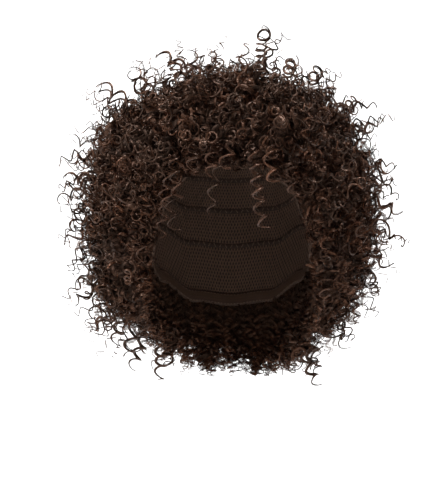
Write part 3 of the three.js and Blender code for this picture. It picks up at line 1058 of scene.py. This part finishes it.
# Stray ringlets that stand out from the outline: from and to, coil radius, coils, phase and width
stray_ringlets = (
    ("crown_hair", ((0.0230, 0.036, 0.0280), (0.0285, 0.012, 0.0730), 0.0047, 8.0, 0.0, 0.0028)),
    ("crown_hair", ((0.0290, 0.020, 0.0730), (0.0305, 0.006, 0.0770), 0.0054, 1.8, 2.0, 0.0019)),
    ("crown_hair", ((0.0340, 0.012, 0.0680), (0.0540, 0.000, 0.0740), 0.0044, 1.5, 1.0, 0.0009)),
    ("crown_hair", ((0.0150, 0.036, 0.0260), (0.0200, 0.012, 0.0540), 0.0048, 4.0, 1.0, 0.0018)),
    ("weft_6", ((-0.0290, 0.034, 0.0440), (-0.0680, 0.006, 0.0580), 0.0052, 2.8, 2.5, 0.0026)),
    ("weft_6", ((-0.0500, 0.034, 0.0360), (-0.0860, 0.006, 0.0480), 0.0046, 2.6, 1.5, 0.0012)),
    ("crown_hair", ((-0.0120, 0.036, 0.0300), (-0.0180, 0.010, 0.0530), 0.0048, 2.6, 1.0, 0.0026)),
    ("weft_6", ((-0.0280, 0.034, 0.0320), (-0.0360, 0.008, 0.0580), 0.0052, 2.6, 2.0, 0.0028)),
    ("weft_6", ((-0.0450, 0.034, 0.0320), (-0.0500, 0.010, 0.0540), 0.0048, 2.4, 0.5, 0.0026)),
    ("weft_6", ((0.0700, 0.032, 0.0340), (0.0790, 0.002, 0.0450), 0.0052, 2.3, 1.0, 0.0021)),
    ("weft_6", ((0.0480, 0.030, 0.0400), (0.0560, 0.004, 0.0520), 0.0050, 2.6, 1.0, 0.0024)),
    ("weft_5", ((-0.0850, 0.034, 0.0090), (-0.1150, 0.004, 0.0330), 0.0054, 3.2, 0.5, 0.0022)),
    ("weft_5", ((-0.0720, 0.030, 0.0250), (-0.0860, 0.004, 0.0420), 0.0050, 2.6, 2.0, 0.0024)),
    ("weft_5", ((-0.0900, 0.000, 0.0010), (-0.1240, 0.030, 0.0110), 0.0040, 3.2, 0.5, 0.0010)),
    ("weft_5", ((0.0960, 0.030, 0.0060), (0.1120, 0.004, 0.0200), 0.0042, 3.6, 0.5, 0.0019)),
    ("weft_4", ((-0.0980, -0.012, -0.0270), (-0.1405, 0.016, -0.0349), 0.0036, 4.2, 0.0, 0.0030)),
    ("weft_4", ((-0.1100, 0.030, -0.0250), (-0.1445, 0.006, -0.0177), 0.0044, 2.4, 3.0, 0.0014)),
    ("weft_4", ((0.0980, 0.030, -0.0110), (0.1260, 0.004, -0.0060), 0.0050, 2.8, 2.0, 0.0021)),
    ("weft_4", ((0.1120, 0.026, -0.0280), (0.1350, 0.000, -0.0440), 0.0050, 2.2, 2.0, 0.0036)),
    ("weft_3", ((-0.1100, 0.024, -0.0500), (-0.1440, -0.002, -0.0523), 0.0048, 2.6, 1.5, 0.0028)),
    ("weft_3", ((-0.1080, -0.010, -0.0740), (-0.1430, 0.016, -0.0800), 0.0044, 3.2, 2.5, 0.0020)),
    ("weft_3", ((0.1080, 0.024, -0.0400), (0.1415, -0.004, -0.0462), 0.0050, 2.4, 4.0, 0.0016)),
    ("weft_3", ((0.1000, 0.020, -0.0540), (0.1441, -0.010, -0.0837), 0.0042, 4.2, 3.4, 0.0032)),
    ("weft_2", ((0.1120, 0.020, -0.1040), (0.1397, -0.004, -0.1307), 0.0044, 2.8, 1.2, 0.0024)),
    ("weft_2", ((-0.1040, 0.026, -0.1340), (-0.1350, 0.000, -0.1450), 0.0048, 3.0, 0.6, 0.0024)),
    ("weft_2", ((-0.1060, 0.000, -0.1380), (-0.1388, 0.020, -0.1603), 0.0042, 3.0, 0.6, 0.0026)),
    ("weft_2", ((-0.0920, 0.010, -0.1600), (-0.1200, -0.010, -0.1840), 0.0046, 3.4, 0.6, 0.0022)),
)
for row, (name, body, bold, wisps) in enumerate(upper_rows, start=1):
    random = np.random.default_rng(seeds[row])
    low, high = row * row_share, (row + 1) * row_share
    bundle = Bundle()
    add_mass(bundle, row)
    add_curls(bundle, spread(low, high, int(body * under_per_body), random), under_curls, random)
    add_curls(bundle, spread(low, high, body, random, tuft_size), body_curls, random)
    add_curls(bundle, spread(low, high, bold, random), bold_curls, random)
    add_curls(bundle, spread(low, high, wisps, random), wispy_curls, random)
    add_ringlets(bundle, [ringlet for home, ringlet in stray_ringlets if home == name], stray_shade)
    curls = bundle.piece(name + "_curls", curl_material)
    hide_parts(name)


# Floor and backdrop.
# A plain pale sweep behind and under the wig, lit softly from the front left and above.
# It is stage only, and no part of the wig.
floor_height = -0.42
sweep_width = 8.0
sweep_front = -4.0
sweep_back = 2.2
sweep_top = 4.0
sweep_bend = 0.8
sweep_steps = 16
sweep_colour = (0.93, 0.93, 0.93, 1)
sweep_roughness = 0.95
sweep_specular = 0.1
sweep_glow = 0.85
bend = np.linspace(0, math.pi / 2, sweep_steps)
profile_y = np.concatenate([[sweep_front], sweep_back - sweep_bend + sweep_bend * np.sin(bend), [sweep_back]])
profile_z = np.concatenate([[0], sweep_bend - sweep_bend * np.cos(bend), [sweep_top]]) + floor_height
sweep_points = [(x, y, z) for x in (-sweep_width / 2, sweep_width / 2) for y, z in zip(profile_y, profile_z)]
sweep_mesh = bpy.data.meshes.new("pale_sweep")
sweep_mesh.from_pydata(sweep_points, [], grid_faces(2, len(profile_y)).tolist())
sweep_mesh.shade_smooth()
sweep = bpy.data.objects.new("pale_sweep", sweep_mesh)
bpy.context.scene.collection.objects.link(sweep)
sweep_material = bpy.data.materials.new("pale paper")
sweep_material.use_nodes = True
sweep_shader = sweep_material.node_tree.nodes["Principled BSDF"]
sweep_shader.inputs["Base Color"].default_value = sweep_colour
sweep_shader.inputs["Roughness"].default_value = sweep_roughness
sweep_shader.inputs["Specular IOR Level"].default_value = sweep_specular
sweep_seen = sweep_material.node_tree.nodes.new("ShaderNodeLightPath").outputs["Is Camera Ray"]
sweep_material.node_tree.links.new(sweep_seen, sweep_shader.inputs["Emission Color"])
sweep_shader.inputs["Emission Strength"].default_value = sweep_glow
sweep_mesh.materials.append(sweep_material)

world_light = 0.03
world_backdrop = 1.0
world = bpy.data.worlds.new("studio")
world.use_nodes = True
world_seen = world.node_tree.nodes.new("ShaderNodeLightPath").outputs["Is Camera Ray"]
world_strength = world.node_tree.nodes.new("ShaderNodeMapRange")
world_strength.inputs["To Min"].default_value = world_light
world_strength.inputs["To Max"].default_value = world_backdrop
world.node_tree.links.new(world_seen, world_strength.inputs["Value"])
world.node_tree.nodes["Background"].inputs["Color"].default_value = (1, 1, 1, 1)
world.node_tree.links.new(world_strength.outputs[0], world.node_tree.nodes["Background"].inputs["Strength"])
bpy.context.scene.world = world

# Soft lights: name, place, size, power. All are aimed at one point inside the hair.
light_aim = Vector((0, 0, -0.1))
soft_lights = (
    ("key", (-1.45, -0.4, 0.95), 0.6, 36),
    ("side", (1.4, -0.1, 0.6), 0.7, 8),
    ("top", (0.1, -0.1, 1.4), 0.6, 22),
    ("front", (0.3, -1.8, 0.3), 0.6, 3.5),
)
for name, place, size, power in soft_lights:
    lamp = bpy.data.lights.new(name, "AREA")
    lamp.shape = "DISK"
    lamp.size = size
    lamp.energy = power
    light = bpy.data.objects.new(name, lamp)
    light.location = place
    light.rotation_euler = (light_aim - Vector(place)).to_track_quat("-Z", "Y").to_euler()
    bpy.context.scene.collection.objects.link(light)

# Camera, level with the middle of the hair
camera_place = (-0.0065, -1.229, -0.115)
focal_pixels = 1412
photo_height = 500
sensor = 36
camera_data = bpy.data.cameras.new("camera")
camera_data.sensor_width = sensor
camera_data.lens = sensor * focal_pixels / photo_height
camera = bpy.data.objects.new("camera", camera_data)
camera.location = camera_place
camera.rotation_euler = (math.radians(90), 0, 0)
bpy.context.scene.collection.objects.link(camera)
bpy.context.scene.camera = camera
bpy.context.scene.view_settings.view_transform = "Standard"
